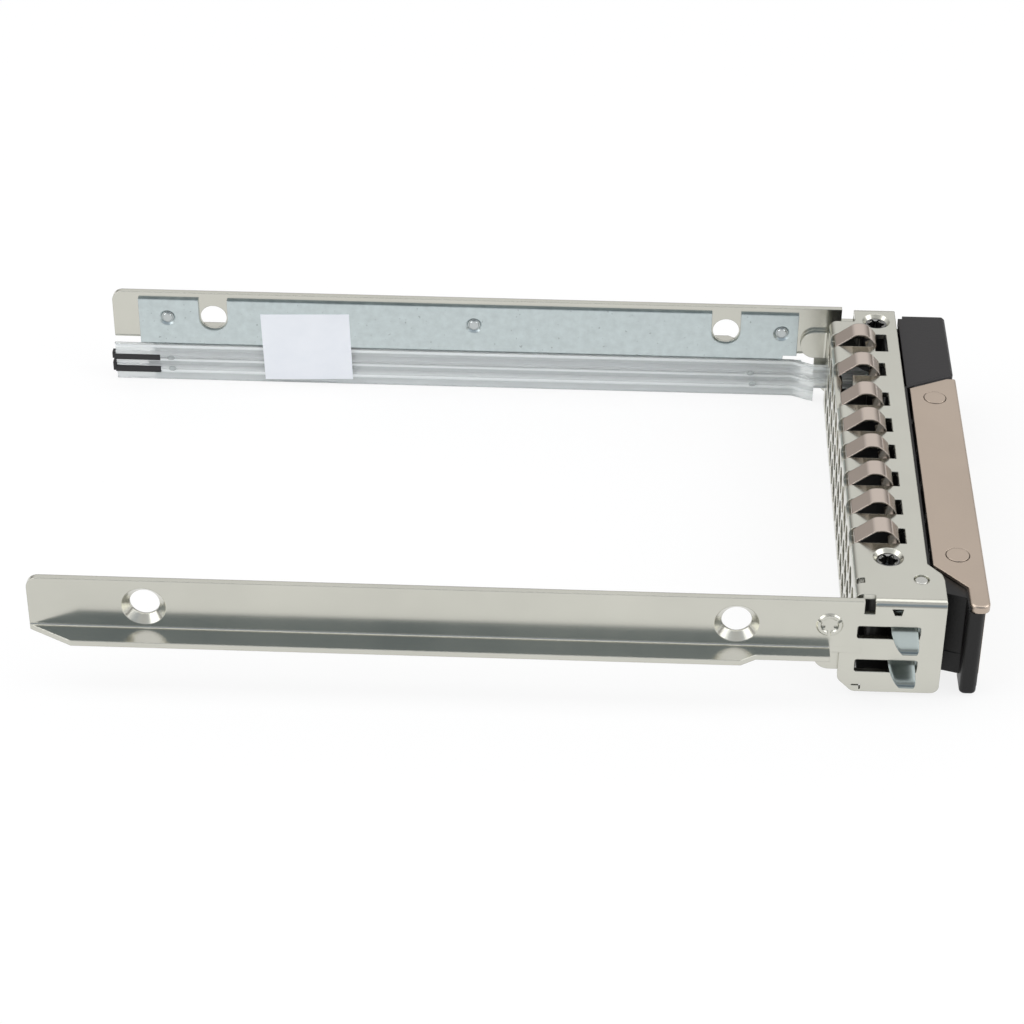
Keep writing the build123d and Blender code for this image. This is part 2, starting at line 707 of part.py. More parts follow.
def handle_lever():
    """Moulded lever under the cover, with its pivot boss, cam foot and catch pocket."""
    top, low = handle_top - cover_sheet, -handle_low + cover_sheet
    rim = cover_sheet + 0.1
    outer = handle_outline(rim, button_lever_gap)
    body = along_z(outer, low, top)
    near = -contact + handle_chamfer_far + 1.0
    far = button_line - 3.2
    body -= block(handle_rear - 1, handle_front + 1, near, far, low + lever_wall, top - lever_wall)
    count = int((far - near - vent_pitch) / vent_pitch)
    gap = (far - near) / (count + 1)
    for i in range(count):
        y = near + gap * (i + 1)
        body += block(handle_rear + 0.6, handle_front - rim, y - 0.5, y + 0.5, low, top)
    open_top = top - 9.3
    arch = [(foot_x - 4, -foot_low - 1), (foot_x - 4, open_top), (foot_x - 0.9, open_top + 0.2),
            (foot_x - 0.4, open_top - 1.2), (foot_x - 0.1, -foot_low - 1)]
    body -= along_y(arch, -contact - 5, near, 0)
    foot = along_z([(foot_x, -contact - 0.8), (handle_front - rim, -contact - 0.8),
                    (handle_front - rim, near), (foot_x, -contact + handle_chamfer_near)], low, top)
    under_flap = -contact - cover_near + cover_sheet + 0.05
    foot = fillet(foot.edges().filter_by(Axis.Z).group_by(Axis.Y)[0], foot_corner)
    tip_far = -contact - cover_near + cover_cut - 0.1
    tip = block(foot_x, handle_front - rim, -contact - 0.8, tip_far, -foot_low, low)
    tip = fillet(tip.edges().filter_by(Axis.Z).group_by(Axis.Y)[0], foot_corner)
    foot += fillet(tip.faces().sort_by(Axis.Z)[0].edges(), 0.4)
    body += foot - block(foot_x - 1, handle_front, -contact - 2, under_flap, top - 0.65, top + 1)
    body += arm(open_top, top - 0.1)
    body += arm_rib(-arm_low, open_top + 0.1)
    body -= round_z(pivot_x, pivot_y, low - 1, rail_top, pin_size / 2 + pin_play)
    catch_top, catch_low = latch_top + 0.35, latch_top - latch_height - 0.35
    body -= block(26.9, 28.75, button_line - 1.2, button_line + 5, catch_low, catch_top)
    for x, y in cover_rivet_places():
        body -= round_z(x, y, top - 1.0, top + 1, 0.82)
        body -= round_z(x, y, low - 1, low + 1.0, 0.82)
    return body


def arm(z0, z1):
    """Arm from the pivot boss to the lever's near end, slim enough to swing past the side plate."""
    points = [(pivot_x, pivot_y - 1.9), (pivot_x + 3.0, pivot_y - 1.2), (foot_x + 0.5, pivot_y - 2.3),
              (foot_x + 0.5, pivot_y + 3.6), (handle_rear + 0.6, pivot_y + 4.6),
              (pivot_x + 0.9, pivot_y + 2.0)]
    return along_z(points, z0, z1) + round_z(pivot_x, pivot_y, z0, z1, 2.1)


def arm_rib(z0, z1):
    """Deeper rib under the outer half of the arm."""
    points = [(pivot_x + 2.7, pivot_y - 1.25), (foot_x + 0.5, pivot_y - 2.3), (foot_x + 0.5, pivot_y + 2.5),
              (pivot_x + 2.7, pivot_y + 2.5)]
    return along_z(points, z0, z1)


def pivot_pin():
    """Upright pin of the handle, held by the top sheet and the housing's floor."""
    body = round_z(pivot_x, pivot_y, -housing_low + 0.2, rail_top - 0.1, pin_size / 2)
    return chamfer(body.edges().sort_by(Axis.Z)[-1], 0.25)


def coil(radius, wire, length, turns):
    """Open coil spring that stands on the origin."""
    line = Helix(pitch=(length - wire) / turns, height=length - wire, radius=radius)
    start = Plane(origin=line @ 0, z_dir=line % 0)
    return Pos(0, 0, wire / 2) * sweep(start * Rectangle(wire, wire), path=line, is_frenet=True)


def handle_spring():
    """Torsion spring round the pivot pin, below the lever's boss."""
    return Pos(pivot_x, pivot_y, -housing_low + floor_sheet + 0.8) * coil(1.45, 0.35, 1.7, 3)


def button_spring():
    """Compression spring between the housing and the button."""
    y, z = spring_axis()
    length = button_front - button_wall - button_wall_front - 0.1
    return Pos(button_wall_front + 0.05, y, z) * Rot(0, 90, 0) * coil(1.5, 0.35, length, 5)


def latch_spring():
    """Small compression spring behind the latch slide."""
    seat = Pos(latch_spring_x, latch_far() + 0.05, latch_top - latch_height / 2)
    return seat * Rot(-90, 0, 0) * coil(0.6, 0.25, latch_spring_length, 4)


def release_button():
    """Hollow button at the far end of the handle, open at the back."""
    def shape(inset, side_inset, rear):
        front = button_front - inset
        return [(rear, slanted(-inset, rear)), (front, slanted(-inset, front)),
                (front, button_far - side_inset), (rear, button_far - side_inset)]

    body = along_z(shape(0, 0, button_rear), -handle_low, button_top)
    edges = body.edges().filter_by(Axis.Z).sort_by(Axis.X)[-2:]
    body = fillet(edges, 0.6)
    clear = sheet_front + moving_gap + button_travel
    side = web_in - moving_gap
    body -= block(button_rear - 1, clear, side, button_far + 1, -housing_low - 1, button_top + 1)
    body = chamfer(body.faces().sort_by(Axis.Z)[-1].edges().sort_by(Axis.X)[-1], 0.3)
    body -= along_z(shape(button_wall, button_side_wall, button_rear - 1), -handle_low + button_wall,
                    button_top - button_wall)
    slot_top, slot_low = latch_top + 0.35, latch_top - latch_height - 0.35
    body -= block(button_rear - 1, 30.2, button_line - 1, button_line + 6, slot_low, slot_top)
    inner = button_front - button_wall
    lug = latch_far() - latch_lug_back
    start, ramp_gap = latch_front - 0.2, 0.62
    body += along_z([(start, lug - ramp_gap), (inner, lug - ramp_gap + inner - start), (inner, lug - 2.5),
                     (start, lug - 2.5)], latch_top + 0.3, latch_top + 1.7)
    tips = contact + pipe_gap + pipe_depth / 2 - pipe_inset
    for z in light_window_places:
        body -= block(inner - 1, button_front + 1, tips - 0.6, tips + 0.1, z - 0.5, z + 0.5)
    return body


def latch_slide():
    """Bar that holds the handle shut and that the button's ramp draws aside."""
    low = latch_top - latch_height
    nose = slanted(button_lever_gap, latch_nose_rear) - 0.5
    body = block(latch_nose_rear, latch_front, nose, latch_far(), low, latch_top)
    body += block(latch_rear, latch_front, latch_far() - latch_length, latch_far(), low, latch_top)
    lug, start = latch_far() - latch_lug_back, latch_front - 0.2
    return body + along_z([(start, lug - 0.2), (start + latch_ramp, lug - 0.2 + latch_ramp),
                           (start + latch_ramp, lug + 3), (start, lug + 3)], low, latch_top + 1.5)


pieces = {
    "frame": frame,
    "light_pipe_carrier": light_pipe_carrier,
    "carrier_rivets": carrier_rivets,
    "upper_light_pipe": upper_light_pipe,
    "lower_light_pipe": lower_light_pipe,
    "light_pipe_clip": light_pipe_clip,
    "label": label,
    "top_contact_strip": top_contact_strip,
    "side_contact_strip": side_contact_strip,
    "front_housing": front_housing,
    "housing_screws": housing_screws,
    "handle_lever": handle_lever,
    "handle_cover": handle_cover,
    "cover_rivets": cover_rivets,
    "pivot_pin": pivot_pin,
    "handle_spring": handle_spring,
    "release_button": release_button,
    "button_spring": button_spring,
    "latch_slide": latch_slide,
    "latch_spring": latch_spring,
}

os.makedirs("parts", exist_ok=True)
for name, make in pieces.items():
    made = make()
    solids = made if isinstance(made, list) else [made]
    placed = [solid for part in solids for solid in place(part).solids()]
    export_step(Compound(placed) if len(placed) > 1 else placed[0], f"parts/{name}.step")
    print(name, len(placed))
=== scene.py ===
# %% [markdown]
# # A hot swap drive caddy in Blender
# The caddy is a folded sheet-metal tray with a plastic front. Its solids come from the packed
# model, in metres, and this lesson dresses them: plated steel, zinc-plated sheet, clear plastic,
# moulded plastic and spring strip.

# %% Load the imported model
from math import pi, radians

import bpy
from mathutils import Matrix, Vector


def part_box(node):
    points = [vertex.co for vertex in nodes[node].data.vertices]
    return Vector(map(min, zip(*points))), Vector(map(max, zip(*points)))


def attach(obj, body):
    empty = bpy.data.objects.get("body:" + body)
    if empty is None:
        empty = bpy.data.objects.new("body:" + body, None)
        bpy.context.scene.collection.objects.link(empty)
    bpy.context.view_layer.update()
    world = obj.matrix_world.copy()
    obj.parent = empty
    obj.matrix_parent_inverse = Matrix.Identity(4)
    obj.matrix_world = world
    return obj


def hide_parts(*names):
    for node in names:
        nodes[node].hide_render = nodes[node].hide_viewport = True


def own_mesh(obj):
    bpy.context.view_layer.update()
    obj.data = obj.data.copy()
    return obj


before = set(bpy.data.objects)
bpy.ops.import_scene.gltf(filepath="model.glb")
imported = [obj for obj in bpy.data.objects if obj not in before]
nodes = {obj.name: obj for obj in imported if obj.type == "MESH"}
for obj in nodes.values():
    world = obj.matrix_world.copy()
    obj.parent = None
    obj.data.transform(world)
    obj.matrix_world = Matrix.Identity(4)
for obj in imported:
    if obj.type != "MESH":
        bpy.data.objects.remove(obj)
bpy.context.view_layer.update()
print("pieces in the packed model:", len(nodes))

# %% [markdown]
# The solids arrive with flat facets. Smooth shading with an angle limit keeps the folds and holes
# round and leaves every sheared edge crisp, which is how stamped sheet looks.

# %% Smooth the round faces of every solid
sharp_from = radians(35)
for node in nodes.values():
    bpy.ops.object.select_all(action="DESELECT")
    node.select_set(True)
    bpy.context.view_layer.objects.active = node
    bpy.ops.object.shade_smooth_by_angle(angle=sharp_from)
print("shaded:", sorted(nodes))

# %% [markdown]
# Every finish here is a node tree on a Principled shader. A few helpers build what they share:
# noise in the object's own coordinates, a ramp from a number to a colour, arithmetic, mixes of two
# colours or two shaders, and a bump from a height.

# %% Helpers for the finishes
def new_finish(name):
    """A material with an empty Principled shader, and its node tree."""
    finish = bpy.data.materials.new(name)
    finish.use_nodes = True
    tree = finish.node_tree
    shader = tree.nodes["Principled BSDF"]
    return finish, tree, shader


def object_coordinates(tree, stretch=(1, 1, 1)):
    """Coordinates of the piece itself, stretched so that a pattern can run along the sheet."""
    coordinates = tree.nodes.new("ShaderNodeTexCoord")
    mapping = tree.nodes.new("ShaderNodeMapping")
    mapping.inputs["Scale"].default_value = stretch
    tree.links.new(coordinates.outputs["Object"], mapping.inputs["Vector"])
    return mapping.outputs["Vector"]


def noise(tree, vector, scale, detail=3.0, roughness=0.5):
    """Height from 0 to 1 of a noise texture."""
    texture = tree.nodes.new("ShaderNodeTexNoise")
    texture.inputs["Scale"].default_value = scale
    texture.inputs["Detail"].default_value = detail
    texture.inputs["Roughness"].default_value = roughness
    tree.links.new(vector, texture.inputs["Vector"])
    return texture.outputs["Fac"]


def ramp(tree, value, stops):
    """Colour of a number, from (position, colour) stops."""
    node = tree.nodes.new("ShaderNodeValToRGB")
    elements = node.color_ramp.elements
    elements[0].position, elements[0].color = stops[0][0], (*stops[0][1], 1)
    elements[1].position, elements[1].color = stops[-1][0], (*stops[-1][1], 1)
    for position, colour in stops[1:-1]:
        element = elements.new(position)
        element.color = (*colour, 1)
    tree.links.new(value, node.inputs["Fac"])
    return node.outputs["Color"]


def spread(tree, value, low, high, start=0.3, end=0.7):
    """A number mapped from start..end to low..high."""
    node = tree.nodes.new("ShaderNodeMapRange")
    node.inputs["From Min"].default_value = start
    node.inputs["From Max"].default_value = end
    node.inputs["To Min"].default_value = low
    node.inputs["To Max"].default_value = high
    tree.links.new(value, node.inputs["Value"])
    return node.outputs["Result"]


def maths(tree, operation, *values):
    """A number worked out from others, each of them a socket or a plain number."""
    node = tree.nodes.new("ShaderNodeMath")
    node.operation = operation
    for socket, value in zip(node.inputs, values):
        if isinstance(value, (int, float)):
            socket.default_value = value
        else:
            tree.links.new(value, socket)
    return node.outputs[0]


def two_colours(tree, share, first, second):
    """A mix of a linked colour and a plain one, by the share of the second."""
    node = tree.nodes.new("ShaderNodeMixRGB")
    tree.links.new(share, node.inputs["Fac"])
    tree.links.new(first, node.inputs["Color1"])
    node.inputs["Color2"].default_value = (*second, 1)
    return node.outputs["Color"]


def two_shaders(tree, share, first, second):
    """Put a mix of two shaders on the surface, by the share of the second."""
    node = tree.nodes.new("ShaderNodeMixShader")
    tree.links.new(share, node.inputs["Fac"])
    tree.links.new(first, node.inputs[1])
    tree.links.new(second, node.inputs[2])
    surface = tree.nodes["Material Output"].inputs["Surface"]
    tree.links.new(node.outputs["Shader"], surface)


def bump(tree, shader, height, strength, depth, edge=0.0):
    """Raise the surface by a height up to a depth in metres; edge is the radius of its edges."""
    node = tree.nodes.new("ShaderNodeBump")
    node.inputs["Strength"].default_value = strength
    node.inputs["Distance"].default_value = depth
    tree.links.new(height, node.inputs["Height"])
    tree.links.new(node.outputs["Normal"], shader.inputs["Normal"])
    if edge:
        rounded = tree.nodes.new("ShaderNodeBevel")
        rounded.samples = 4
        rounded.inputs["Radius"].default_value = edge
        tree.links.new(rounded.outputs["Normal"], node.inputs["Normal"])


def shades(colour, amount):
    """A darker and a lighter version of a colour."""
    return [tuple(max(0.0, min(1.0, part * (1 + side * amount))) for part in colour)
            for side in (-1, 1)]


# %% [markdown]
# Plated sheet is a mirror that has gone slightly soft. Its colour hardly changes, but rolling
# leaves faint streaks, handling leaves clouds in the gloss, and the plating is never quite flat.
# So the noise goes mostly to roughness and to a very small bump, and only a little to the colour.
# A sheared edge is never razor sharp either: it could be bevelled in the mesh, but the solids keep
# theirs, so a Bevel node bends the normals within a fifth of a millimetre of each edge, and the
# edge catches a thin line of light. Zinc has pits too, so the peaks of one more noise darken it
# here and there.

# %% Plated sheet metal
along, across = (60, 400, 400), (400, 60, 400)  # the way that the sheet was rolled
grain_share = 0.25
waviness, wave_depth = 0.012, 0.0004
pit_peaks = (0.74, 0.80)


def plated_sheet(name, colour, gloss, clouds=0.03, streak=along, edge=0.00018,
                 mottle=(55, 0.05), specks=0.0):
    """Satin plated metal: gloss is the middle roughness, clouds how far it varies.

    streak stretches the grain along the rolling, and edge is the radius of the edges. mottle is
    how fine the clouds in the colour are, and how far they darken it. specks is the strength of
    small dark pits in the plating.
    """
    finish, tree, shader = new_finish(name)
    shader.inputs["Metallic"].default_value = 1.0
    flat = object_coordinates(tree)
    rolled = object_coordinates(tree, streak)
    fineness, depth = mottle
    cloud = noise(tree, flat, fineness, 4, 0.55)
    grain = noise(tree, rolled, 6, 3, 0.5)
    dark, light = shades(colour, depth)
    clouded = ramp(tree, cloud, [(0.3, dark), (0.7, light)])
    if specks:
        pits = noise(tree, flat, 1900, 1, 0.4)
        pitted = spread(tree, pits, 0, specks, *pit_peaks)
        clouded = two_colours(tree, pitted, clouded, [part / 6 for part in colour])
    tree.links.new(clouded, shader.inputs["Base Color"])
    worn = maths(tree, "MULTIPLY_ADD", grain, grain_share, cloud)
    tree.links.new(spread(tree, worn, gloss - clouds, gloss + clouds, 0.4, 0.85),
                   shader.inputs["Roughness"])
    waves = noise(tree, flat, 90, 2, 0.4)
    bump(tree, shader, waves, waviness, wave_depth, edge)
    return finish


nickel_sheet = plated_sheet("nickel_sheet", (0.59, 0.585, 0.525), 0.22)
zinc_sheet = plated_sheet("zinc_sheet", (0.55, 0.615, 0.62), 0.34, 0.06,
                          mottle=(800, 0.09), specks=0.4)
rivet_metal = plated_sheet("rivet_metal", (0.50, 0.53, 0.53), 0.24, edge=0.00007)
pin_metal = plated_sheet("pin_metal", (0.53, 0.53, 0.50), 0.26)
print("sheet finishes:", nickel_sheet.name, zinc_sheet.name, rivet_metal.name, pin_metal.name)

# %% [markdown]
# The handle's cover is sheet with a champagne-coloured satin coat, the fingers are bright strip
# with a warm tint, and the side tabs are bright strip of a bluish grey. They are the same idea
# with other colours, gloss and direction of the grain.

# %% Coated cover, spring strip and bright parts
champagne_sheet = plated_sheet("champagne_sheet", (0.51, 0.425, 0.353), 0.34, 0.03, across)
finger_strip = plated_sheet("finger_strip", (0.58, 0.50, 0.44), 0.16, 0.03, across)
tab_strip = plated_sheet("tab_strip", (0.27, 0.305, 0.30), 0.2)
# The screws are bright metal; their deep grey colour is painted shade of the recessed heads and
# sockets.
screw_metal = plated_sheet("screw_metal", (0.21, 0.21, 0.205), 0.17, 0.03, (200, 200, 60),
                           edge=0.00006)
spring_wire = plated_sheet("spring_wire", (0.45, 0.45, 0.45), 0.25)
print("strip finishes:", champagne_sheet.name, finger_strip.name, tab_strip.name)
print("small bright parts:", screw_metal.name, spring_wire.name)


# %% [markdown]
# Moulded plastic takes its surface from a mould that was spark-eroded: a fine, even grain that
# scatters the highlights. Two scales of noise make that grain, and a third, broad one varies the
# gloss where hands have polished it.

# %% Moulded plastic
mould_grain, mould_depth, mould_edge = 0.35, 0.00004, 0.0002
polish = 0.06


def moulded_plastic(name, colour, gloss):
    """Matt plastic with the grain of an eroded mould and slightly rounded edges."""
    finish, tree, shader = new_finish(name)
    flat = object_coordinates(tree)
    fine = noise(tree, flat, 4200, 2, 0.6)
    coarse = noise(tree, flat, 1500, 2, 0.5)
    broad = noise(tree, flat, 45, 3, 0.5)
    dark, light = shades(colour, 0.18)
    tree.links.new(ramp(tree, broad, [(0.3, dark), (0.7, light)]), shader.inputs["Base Color"])
    tree.links.new(spread(tree, broad, gloss - polish, gloss + polish), shader.inputs["Roughness"])
    both = maths(tree, "ADD", fine, coarse)
    bump(tree, shader, both, mould_grain, mould_depth, mould_edge)
    shader.inputs["Specular IOR Level"].default_value = 0.3
    return finish


black_plastic = moulded_plastic("black_plastic", (0.009, 0.0085, 0.0085), 0.38)
button_plastic = moulded_plastic("button_plastic", (0.021, 0.0195, 0.0205), 0.45)
clip_plastic = moulded_plastic("clip_plastic", (0.025, 0.025, 0.026), 0.4)
print("plastics:", black_plastic.name, button_plastic.name, clip_plastic.name)

# %% [markdown]
# The light pipes are clear plastic that passes almost all light. A Principled shader with full
# transmission bends what lies behind, and slight clouds in the roughness keep it from looking like
# window glass. Along the pipes run three ridges that catch the light, and the white line along each
# is a painted highlight. The ridges could be separate strips, but they are the same moulding, so a
# ramp on the height above the floor mixes a white diffuse shader into the clear one: nearly all
# white on the ridges, the painted highlight, and about half white between them, the hazy white of
# the plastic. Its stops are places from the lowest edge of the pipes to their top, each with the
# share of white there. The pips on the pipes are the same plastic, but small and thick, so they pass
# less light.

# %% Clear plastic of the light pipes
pipe_height = 0.0063
# Share of white by height: about half for the haze of the plastic, nearly all on the ridges as
# painted highlight.
haze_and_highlight_shares = [
    (0.0, 0.50), (0.185, 0.50),
    (0.20, 0.95), (0.29, 0.95),  # lowest ridge
    (0.305, 0.47), (0.49, 0.47),
    (0.505, 0.95), (0.585, 0.95),  # middle ridge
    (0.60, 0.47), (0.86, 0.47),
    (0.875, 0.95), (0.97, 0.95),  # top ridge
    (0.985, 0.35),
]


def clear_plastic(name):
    """Glossy clear plastic, a little hazy and half white, with a painted highlight in white along
    ridges at set heights.
    """
    finish, tree, shader = new_finish(name)
    shader.inputs["Transmission Weight"].default_value = 1.0
    shader.inputs["IOR"].default_value = 1.25
    flat = object_coordinates(tree, (120, 900, 900))
    haze = noise(tree, flat, 3, 3, 0.5)
    tints = [(0.3, (0.94, 0.97, 0.955)), (0.7, (0.98, 0.99, 0.985))]
    tree.links.new(ramp(tree, haze, tints), shader.inputs["Base Color"])
    tree.links.new(spread(tree, haze, 0.03, 0.12), shader.inputs["Roughness"])
    bump(tree, shader, haze, 0.05, 0.0001)
    # White diffuse shader: the haze of the plastic, and the painted highlight along the ridges.
    haze_and_highlight_white = tree.nodes.new("ShaderNodeBsdfDiffuse")
    haze_and_highlight_white.inputs["Color"].default_value = (0.95, 0.97, 0.965, 1)
    coordinates = tree.nodes.new("ShaderNodeTexCoord")
    place = tree.nodes.new("ShaderNodeSeparateXYZ")
    tree.links.new(coordinates.outputs["Object"], place.inputs["Vector"])
    height = spread(tree, place.outputs["Z"], 0, 1, 0, pipe_height)
    white = ramp(tree, height, [(at, (share,) * 3) for at, share in haze_and_highlight_shares])
    two_shaders(tree, white, shader.outputs["BSDF"], haze_and_highlight_white.outputs["BSDF"])
    return finish


pipe_plastic = clear_plastic("pipe_plastic")
pip_plastic, _, pip_shader = new_finish("pip_plastic")
pip_shader.inputs["Base Color"].default_value = (0.80, 0.84, 0.83, 1)
pip_shader.inputs["Transmission Weight"].default_value = 0.7
pip_shader.inputs["Roughness"].default_value = 0.06
print("clear plastics:", pipe_plastic.name, pip_plastic.name)

# %% [markdown]
# The label is a small blank film with a satin face. Paper fibre is too fine to see at this size,
# so only a soft unevenness in colour and a slight bump keep it from being a flat card.

# %% Blank label film
def label_film(name):
    """White satin film."""
    finish, tree, shader = new_finish(name)
    flat = object_coordinates(tree)
    mottle = noise(tree, flat, 260, 4, 0.6)
    tints = [(0.3, (0.89, 0.91, 0.95)), (0.7, (0.93, 0.945, 0.98))]
    tree.links.new(ramp(tree, mottle, tints), shader.inputs["Base Color"])
    shader.inputs["Roughness"].default_value = 0.5
    bump(tree, shader, mottle, 0.08, 0.0001)
    return finish


white_film = label_film("white_film")
print("label finish:", white_film.name)

# %% [markdown]
# The two tabs on the near side are spring strip that comes out of its slot, leans outwards to a
# rounded crest and turns back in. As by hand, a tab starts as a small plane inside the slot, and
# its lower edge is extruded from one line of the bend to the next and narrowed on the way.
# Subdivision then makes the bends and the outline round, and Solidify gives the strip its
# thickness. A flat profile extruded sideways would have square corners.

# %% Helpers for modelling
def only(piece):
    """Select this piece alone."""
    bpy.ops.object.select_all(action="DESELECT")
    piece.select_set(True)
    bpy.context.view_layer.objects.active = piece


def pick(piece, kind, test):
    """In edit mode, select the vertices, edges or faces whose middle passes a test."""
    bpy.ops.mesh.select_mode(type={"vertices": "VERT", "edges": "EDGE", "polygons": "FACE"}[kind])
    bpy.ops.mesh.select_all(action="DESELECT")
    bpy.ops.object.mode_set(mode="OBJECT")
    mesh = piece.data
    for item in getattr(mesh, kind):
        if kind == "vertices":
            middle = item.co
        else:
            corners = [mesh.vertices[i].co for i in item.vertices]
            middle = sum(corners, Vector()) / len(corners)
        item.select = test(middle)
    bpy.ops.object.mode_set(mode="EDIT")


def modify(piece, kind, **settings):
    """Add a modifier, set it and apply it."""
    only(piece)
    modifier = piece.modifiers.new(kind.lower(), kind)
    for key, value in settings.items():
        setattr(modifier, key, value)
    bpy.ops.object.modifier_apply(modifier=modifier.name)


def settle(piece):
    """Write the piece's place into its mesh, so that its object sits at the origin."""
    only(piece)
    bpy.ops.object.transform_apply(location=True, rotation=True, scale=True)


body = "caddy"

# %% [markdown]
# Each line of the bend is a row of four numbers in millimetres: how far it lies to the side (y),
# how high above the top of the slot (z), and where the tab begins and ends along the tray (x).

# %% Lines of one tab's bend
slot_top = 0.0113
tab_lines = [
    (-35.405, 0.60, 49.80, 53.30), (-35.42, -0.05, 49.80, 53.30), (-35.75, -0.62, 49.80, 53.30),
    (-36.60, -1.08, 49.90, 53.32), (-37.60, -1.62, 50.20, 53.38), (-38.42, -2.06, 50.60, 53.38),
    (-38.76, -2.36, 50.98, 53.25), (-38.70, -2.70, 51.30, 53.05), (-38.28, -2.72, 51.35, 53.00),
    (-37.40, -2.22, 51.30, 53.00), (-36.60, -1.80, 51.30, 53.00), (-35.90, -1.74, 51.30, 53.00),
    (-34.80, -1.77, 51.30, 53.00),
]
strip_sheet = 0.00018
tab_root = 0.0021  # how far the tab reaches up behind the plate
sheared_edge = 0.00004
hair = 0.00001
print("lines of a tab:", len(tab_lines))

# %% First tab
start_y, start_z, left, right = [value / 1000 for value in tab_lines[0]]
low, high = slot_top + start_z, slot_top + tab_root
tab_middle = ((left + right) / 2, start_y, (low + high) / 2)
bpy.ops.object.select_all(action="DESELECT")
bpy.ops.mesh.primitive_plane_add(size=right - left, location=tab_middle, rotation=(pi / 2, 0, 0))
tab = bpy.context.object
tab.name = "upper_contact_tab"
settle(tab)
bpy.ops.object.mode_set(mode="EDIT")
pick(tab, "vertices", lambda at: True)
bpy.ops.transform.resize(value=(1, 1, (high - low) / (right - left)), center_override=tab_middle)
pick(tab, "edges", lambda at: at.z < low + hair)
for before, after in zip(tab_lines, tab_lines[1:]):
    y0, z0, l0, r0 = [value / 1000 for value in before]
    y1, z1, l1, r1 = [value / 1000 for value in after]
    step = ((l1 + r1 - l0 - r0) / 2, y1 - y0, z1 - z0)
    bpy.ops.mesh.extrude_edges_move(TRANSFORM_OT_translate={"value": step})
    bpy.ops.transform.resize(value=((r1 - l1) / (r0 - l0), 1, 1),
                             center_override=((l1 + r1) / 2, y1, slot_top + z1))
bpy.ops.mesh.select_all(action="SELECT")
bpy.ops.mesh.normals_make_consistent(inside=False)
bpy.ops.object.mode_set(mode="OBJECT")
modify(tab, "SUBSURF", levels=3, render_levels=3)
modify(tab, "SOLIDIFY", thickness=strip_sheet, offset=0)
modify(tab, "BEVEL", width=sheared_edge, segments=2, limit_method="ANGLE", angle_limit=radians(60))
bpy.ops.object.shade_smooth_by_angle(angle=radians(40))
print("faces of a tab:", len(tab.data.polygons))

# %% Second tab and the strip that carries both
slot_pitch = 0.0054
strip_middle = (0.053975, -0.035405, 0.00795)
strip_size = (0.00145, strip_sheet, 0.0109)
bpy.ops.object.duplicate(linked=False)
second = bpy.context.object
second.name = "lower_contact_tab"
bpy.ops.transform.translate(value=(0, 0, -slot_pitch))
settle(second)
bpy.ops.object.select_all(action="DESELECT")
bpy.ops.mesh.primitive_cube_add(size=1, location=strip_middle, scale=strip_size)
strip = bpy.context.object
strip.name = "contact_tabs"
settle(strip)
bpy.ops.object.mode_set(mode="EDIT")
pick(strip, "edges", lambda at: abs(at.x - strip_middle[0]) > strip_size[0] / 2 - hair
     and abs(at.z - strip_middle[2]) > strip_size[2] / 2 - hair)
bpy.ops.mesh.bevel(offset=0.0003, segments=3)
bpy.ops.object.mode_set(mode="OBJECT")
only(strip)
tab.select_set(True)
second.select_set(True)
bpy.ops.object.join()
strip.data.materials.append(tab_strip)
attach(strip, body)
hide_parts("side_contact_strip")
print("contact tabs:", len(strip.data.polygons), "faces")

# %% [markdown]
# The springs are round wire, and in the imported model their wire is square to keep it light. A coil
# is a small circle that a Screw modifier carries round an axis as often as the spring has turns.
# It could also be a curve with a bevel, but the screw gives even faces and its pitch is a number.
# The ends are filled and the normals made consistent, because a screwed shape can come out inside
# out.

# %% Coils of round wire
wire_sides, turn_steps = 12, 28
ways = [(0, pi / 2, 0), (-pi / 2, 0, 0), (0, 0, 0)]  # turns that lay a coil along x, y or z


def coil(name, node, axis, wire, turns):
    """Round-wire spring that fills the box of a packed spring, along an axis 0, 1 or 2."""
    low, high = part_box(node)
    centre = (Vector(low) + Vector(high)) / 2
    length = high[axis] - low[axis]
    across = high[(axis + 1) % 3] - low[(axis + 1) % 3]
    rise = (length - wire) / turns
    bpy.ops.object.select_all(action="DESELECT")
    bpy.ops.mesh.primitive_circle_add(vertices=wire_sides, radius=wire / 2,
                                      rotation=(pi / 2, 0, 0))
    spring = bpy.context.object
    spring.name = name
    settle(spring)
    bpy.ops.object.mode_set(mode="EDIT")
    pick(spring, "vertices", lambda at: True)
    bpy.ops.transform.translate(value=((across - wire) / 2, 0, -(length - wire) / 2))
    bpy.ops.object.mode_set(mode="OBJECT")
    modify(spring, "SCREW", axis="Z", angle=2 * pi, screw_offset=rise, iterations=turns,
           steps=turn_steps, render_steps=turn_steps, use_merge_vertices=False)
    bpy.ops.object.mode_set(mode="EDIT")
    bpy.ops.mesh.select_mode(type="EDGE")
    bpy.ops.mesh.select_all(action="DESELECT")
    bpy.ops.mesh.select_non_manifold()
    bpy.ops.mesh.edge_face_add()
    bpy.ops.mesh.select_all(action="SELECT")
    bpy.ops.mesh.normals_make_consistent(inside=False)
    bpy.ops.object.mode_set(mode="OBJECT")
    spring.rotation_euler = ways[axis]
    spring.location = centre
    settle(spring)
    bpy.ops.object.shade_smooth_by_angle(angle=radians(50))
    spring.data.materials.append(spring_wire)
    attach(spring, body)
    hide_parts(node)
    return spring


springs = [
    coil("handle_coil", "handle_spring", 2, 0.00035, 3),
    coil("button_coil", "button_spring", 0, 0.00035, 5),
    coil("latch_coil", "latch_spring", 1, 0.00025, 4),
]
print("coils:", [(spring.name, len(spring.data.polygons)) for spring in springs])

# %% [markdown]
# Two of the coils are pressed together when the button goes in. Each gets its own copy of its mesh.

